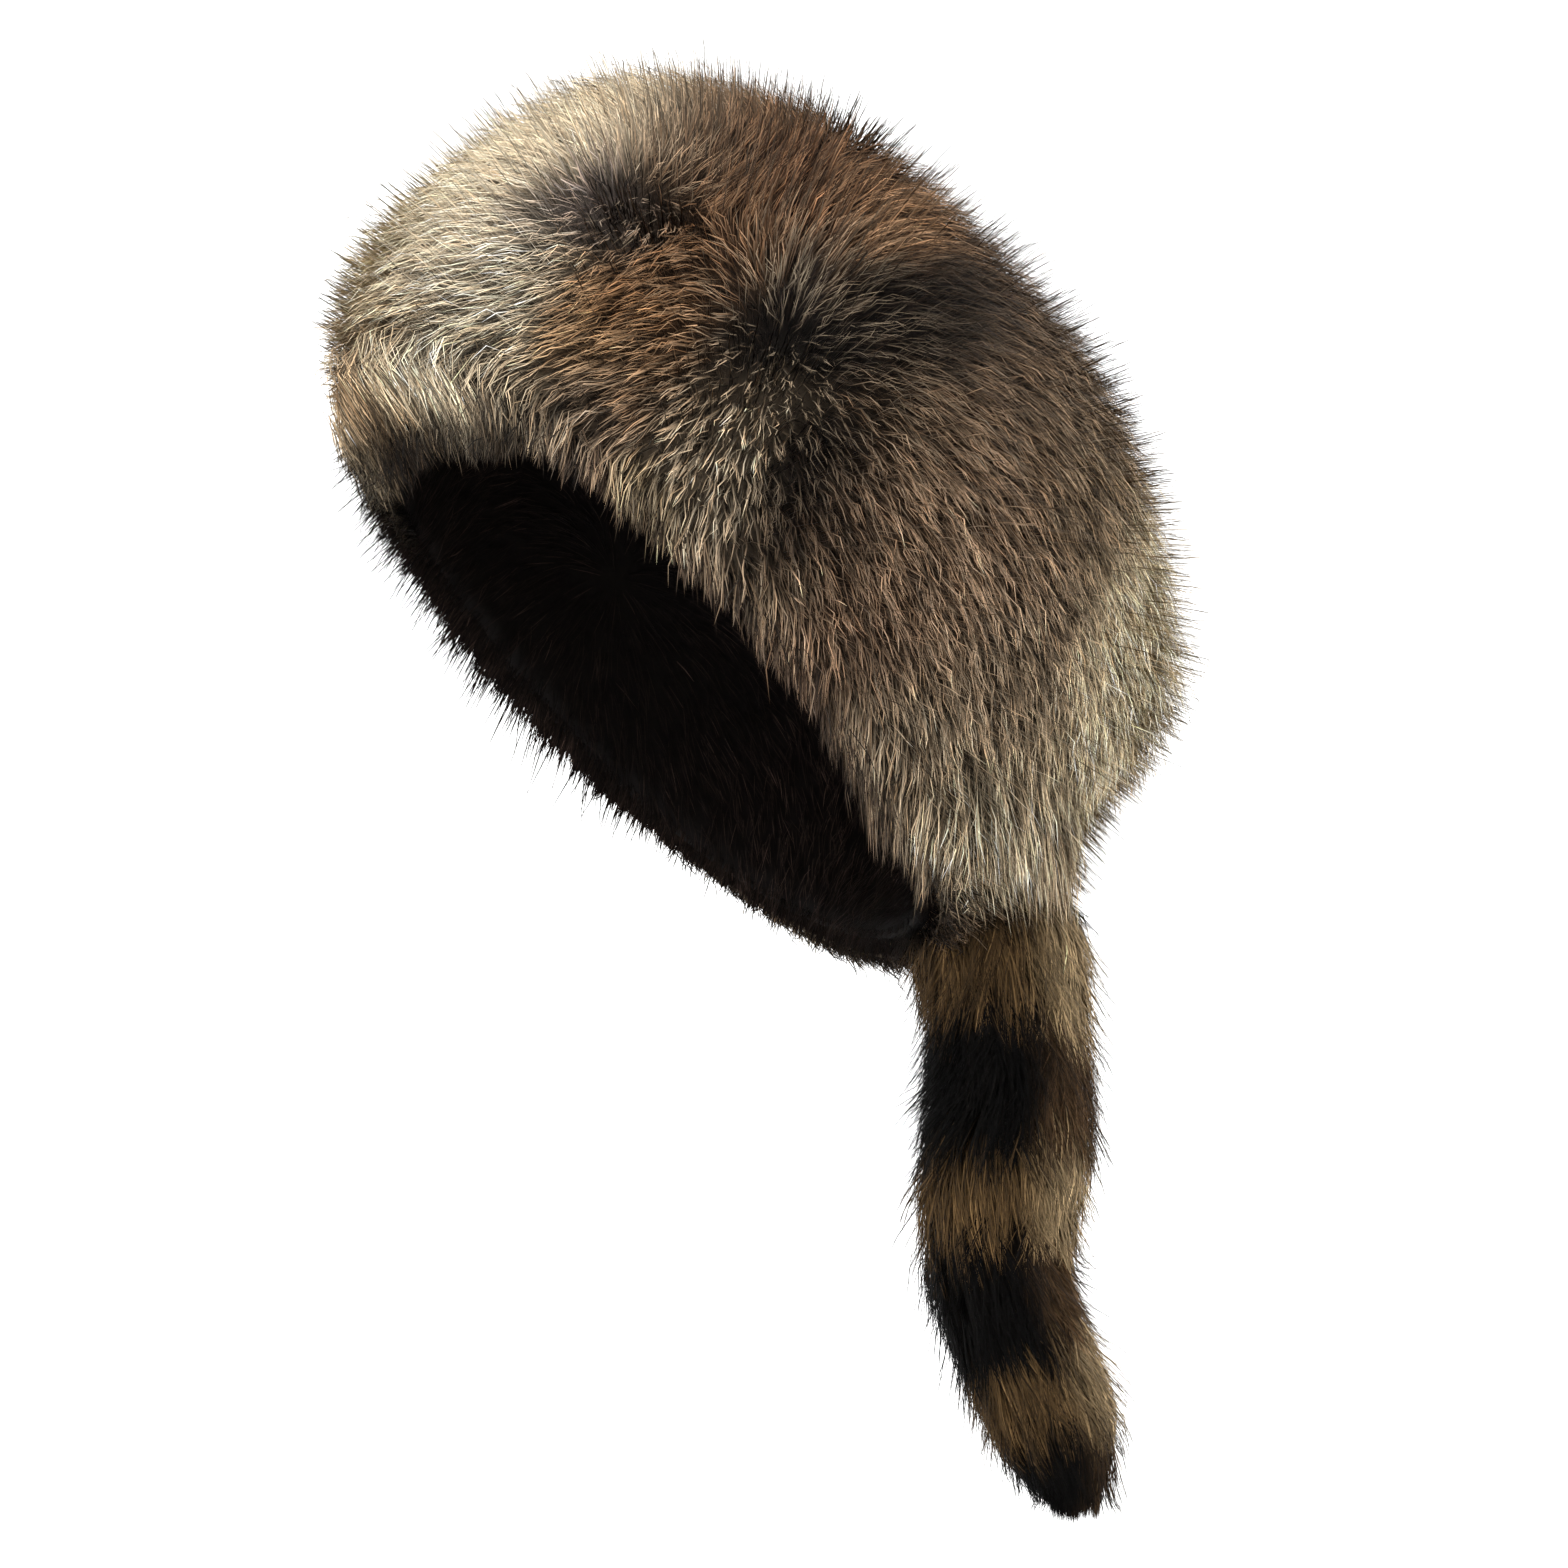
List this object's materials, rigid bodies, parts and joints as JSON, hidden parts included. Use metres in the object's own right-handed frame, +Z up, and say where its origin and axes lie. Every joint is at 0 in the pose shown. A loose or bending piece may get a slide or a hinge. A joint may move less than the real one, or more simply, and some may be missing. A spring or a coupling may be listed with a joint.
{
  "type": "coonskin cap",
  "caption": "Raccoon-fur cap with a deep rounded fur crown, a dark fur lining and a ringed tail hanging from the back of the rim.",
  "frame": {"origin": "centre of the head opening, in the rim plane, where the cap sits on a head", "axes": "+Z up and -Z along the hanging tail, -Y towards the front of the cap, +X towards the wearer's left; the rim plane is tilted back by 43.5 degrees about X, so that the front of the rim is high and the back is low"},
  "size_m": [0.2229, 0.2372, 0.3917],
  "materials": {
    "crown_skin": "suede side of a tanned pelt",
    "crown_fur": "long raccoon fur, cream to grey-brown",
    "lining": "short black-brown fur",
    "tail": "long fur in tan and black rings"
  },
  "bodies": {
    "root": {"crown_skin": "crown_skin", "crown_fur": "crown_fur", "lining": "lining", "tail": "tail"}
  },
  "joints": []
}
